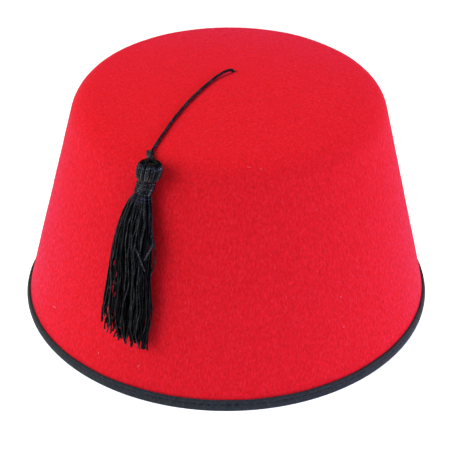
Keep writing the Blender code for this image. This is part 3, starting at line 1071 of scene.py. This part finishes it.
def strand(rng, bundle, to_right, to_front, end, drift, tone):
    """One thread of the skirt, from inside the winding to its own blunt tip. Threads that lie close
    sway together, and each also wavers by itself."""
    downs = np.linspace(STRAND_START, end, STRAND_RINGS)
    middle, depth, half_width, half_thick = skirt_section(downs)
    free = np.clip((downs - WAIST_END) / STRAND_FREE, 0.0, 1.0)
    near = Vector((to_right * 3.2, to_front * 2.0, 0.0))
    clump = np.array([noise.noise(near + Vector((2.0, 5.0, down / CLUMP_LENGTH))) for down in downs])
    sway, nod = clump * CLUMP_SWAY, 0.0
    for length, size in STRAND_WAVES:
        sway = sway + rng.normal(0.0, size) * np.sin(2.0 * math.pi * (downs / length + rng.uniform()))
        wave = STRAND_NOD * rng.normal(0.0, size)
        nod = nod + wave * np.sin(2.0 * math.pi * (downs / length + rng.uniform()))
    tip = np.clip((downs - end + TIP_LENGTH) / TIP_LENGTH, 0.0, 1.0) ** 2
    share = to_right + drift * np.clip((downs - DRIFT_START) / DRIFT_LENGTH, 0.0, 1.0)
    parting = PARTING_WIDTH * np.exp(-(((downs - PARTING_AT) / PARTING_LENGTH) ** 2))
    beyond = share[-1] - PARTING_SHARE
    parting = parting * max(1.0 - beyond / PARTING_REACH, 0.0) * (beyond > 0.0)
    thick = np.interp(downs, *zip(*STRAND_WIDTHS))
    aside = share * (half_width - thick) + (sway + tip * rng.normal(0.0, TIP_SPLAY)) * free + parting
    forward = to_front * (half_thick - thick) + nod * free
    reach = np.hypot(aside / (half_width - thick), forward / (half_thick - thick))
    inside = 1.0 / np.maximum(reach, 1.0)
    across = middle + aside * inside
    out = depth + forward * inside
    # painted shade: each thread's tone falls lower down the skirt
    tone = tone * np.interp(downs, *SKIRT_LOW_PAINTED_SHADE)
    bundle.tube(on_wall(across, out, downs), thick, 6, tone)


def make_skirt(material):
    """Threads in layers round the skirt's section, and a few strays beside it."""
    rng = np.random.default_rng(23)
    bundle = Bundle()
    for layer, count in SKIRT_LAYERS:
        for number in range(count):
            angle = 2.0 * math.pi * (number + rng.uniform(-0.3, 0.3)) / count
            to_right, to_front = layer * math.cos(angle), layer * math.sin(angle)
            end = np.interp(to_right, *zip(*STRAND_ENDS)) - rng.exponential(END_SPREAD)
            if layer < 1.0 and to_right < -0.35:
                end -= rng.uniform(0.0, INNER_LOSS)
            drift = rng.normal(0.0, DRIFT_SPREAD)
            tone = rng.uniform(0.0, 1.0) ** TONE_CURVE
            strand(rng, bundle, to_right, to_front, end, drift, tone)
    for tone, route in STRAY_ROUTES:
        places = smooth_route(route, 1.2)
        bundle.tube(on_wall(places[:, 1], places[:, 2], places[:, 0]), STRAND_RADIUS, 7, tone)
    skirt = bundle.build("tassel_skirt", material)
    dress(skirt, "thread", "tassel")
    return skirt


# Loose fibres on the felt


def fibre(bundle, crown, middle, way, length, radius, lift, tone, rng):
    """A short hair that lies on the felt and follows it."""
    way = way / np.linalg.norm(way)
    points = []
    bow = rng.normal(0.0, 0.12) * length
    _, _, normal, _ = crown.closest_point_on_mesh(Vector(middle) * MM)
    side = np.cross(np.array(normal), way)
    for share in np.linspace(-0.5, 0.5, 5):
        guess = middle + way * length * share + side * bow * (0.25 - share**2) * 4.0
        _, place, normal, _ = crown.closest_point_on_mesh(Vector(guess) * MM)
        height = radius + lift * (2.0 * share) ** 2
        points.append(np.array(place) / MM + np.array(normal) * height)
    bundle.tube(points, radius, 5, tone)


def make_nap(crown, material):
    """Short loose hairs over the wall and, for heights past the wall's top, over the crown's top."""
    rng = np.random.default_rng(5)
    bundle = Bundle()
    for _ in range(NAP_FIBRES):
        azimuth = rng.uniform(0.0, 2.0 * math.pi)
        height = rng.uniform(NAP_FOOT, NAP_HEIGHTS_END)
        if height < NAP_WALL_TOP:
            radius = wall_radius(height)
            middle = np.array([radius * math.cos(azimuth), radius * math.sin(azimuth), height])
            way = np.array([-0.26 * math.cos(azimuth), -0.26 * math.sin(azimuth), 1.0])
        else:
            radius = NAP_TOP_RADIUS * math.sqrt(rng.uniform())
            middle = np.array([radius * math.cos(azimuth), radius * math.sin(azimuth), CROWN_HEIGHT])
            way = np.array([rng.normal(), rng.normal(), 0.0])
        around = np.array([-math.sin(azimuth), math.cos(azimuth), 0.0])
        way = way + around * rng.normal(0.0, 0.5)
        length = rng.uniform(1.2, 3.4)
        lift = rng.uniform(0.02, 0.20)
        fibre(bundle, crown, middle, way, length, NAP_RADIUS, lift, rng.uniform(), rng)
    nap = bundle.build("felt_nap", material)
    dress(nap, "felt")


def make_lint(crown, material):
    """The few pale specks that lie on the felt in the photo."""
    rng = np.random.default_rng(11)
    bundle = Bundle()
    for middle, way, length, radius, tone in LINT:
        fibre(bundle, crown, np.array(middle), np.array(way), length, radius, LINT_LIFT, tone, rng)
    lint = bundle.build("felt_lint", material)
    dress(lint, "felt")


# Floor and light


def make_floor():
    """White paper that stays white in every view by painted light: it glows, most beside the hat where the
    hat's shadow falls, not under it, and again far off.
    """
    mesh = bpy.data.meshes.new("floor")
    half = FLOOR_HALF
    corners = [(-half, -half, 0.0), (half, -half, 0.0), (half, half, 0.0), (-half, half, 0.0)]
    mesh.from_pydata(corners, [], [(0, 1, 2, 3)])
    floor = bpy.data.objects.new("floor", mesh)
    bpy.context.scene.collection.objects.link(floor)
    paper = Shader("floor_paper", Roughness=0.9, Specular_IOR_Level=0.2)
    paper.principled.inputs["Base Color"].default_value = (0.93, 0.93, 0.93, 1.0)
    paper.principled.inputs["Emission Color"].default_value = (1.0, 1.0, 1.0, 1.0)
    where = paper.node("ShaderNodeTexCoord").outputs["Object"]
    away = paper.node("ShaderNodeVectorMath", {"operation": "LENGTH"}, Vector=where).outputs["Value"]
    # painted light: a glow beside the hat that fills the hat's shadow, and a second glow far off
    glow = paper.spread(away, *PAPER_NEAR, FLOOR_GLOW_NEAR, FLOOR_GLOW)
    glow = paper.math("ADD", glow, paper.spread(away, *PAPER_FAR))
    glow = paper.math("MULTIPLY", glow, paper.spread(away, *PAPER_UNDER))
    paper.feed(paper.principled.inputs["Emission Strength"], glow)
    mesh.materials.append(paper.material)


def make_light(name, place, side, power, colour):
    """A square softbox turned to the hat."""
    data = bpy.data.lights.new(name, "AREA")
    data.size = side
    data.energy = power
    data.color = colour
    light = bpy.data.objects.new(name, data)
    light.location = place
    aim = Vector(LIGHT_AIM) - Vector(place)
    light.rotation_euler = aim.to_track_quat("-Z", "Y").to_euler()
    bpy.context.scene.collection.objects.link(light)


def make_world():
    world = bpy.data.worlds.new("studio")
    world.use_nodes = True
    background = world.node_tree.nodes["Background"]
    background.inputs["Color"].default_value = (1.0, 1.0, 1.0, 1.0)
    background.inputs["Strength"].default_value = WORLD_STRENGTH
    bpy.context.scene.world = world
    bpy.context.scene.view_settings.view_transform = "Standard"


set_camera()
cord_material = thread_material(
    "cord_thread", (0.0020, 0.0024, 0.0040, 1.0), (0.0060, 0.0066, 0.0120, 1.0), 0.33, (0.06, 0.60), 1.1
)
floss = thread_material(
    "floss", (0.0008, 0.0010, 0.0016, 1.0), (0.0042, 0.0050, 0.0070, 1.0), 0.23, (0.04, 0.95), 0.8
)
felt = felt_material()
cord, cord_path = make_cord(cord_material)
inner_knot = make_inner_knot(cord_material)
loop = make_loop(cord_material)
head = make_head(floss)
winding = make_winding(floss)
skirt = make_skirt(floss)
crown = make_crown(felt)
make_rim(tape_material())
make_seam(cord_material)
make_nap(crown, nap_material())
make_lint(crown, lint_material())
make_floor()
make_world()
for light in LIGHTS:
    make_light(*light)
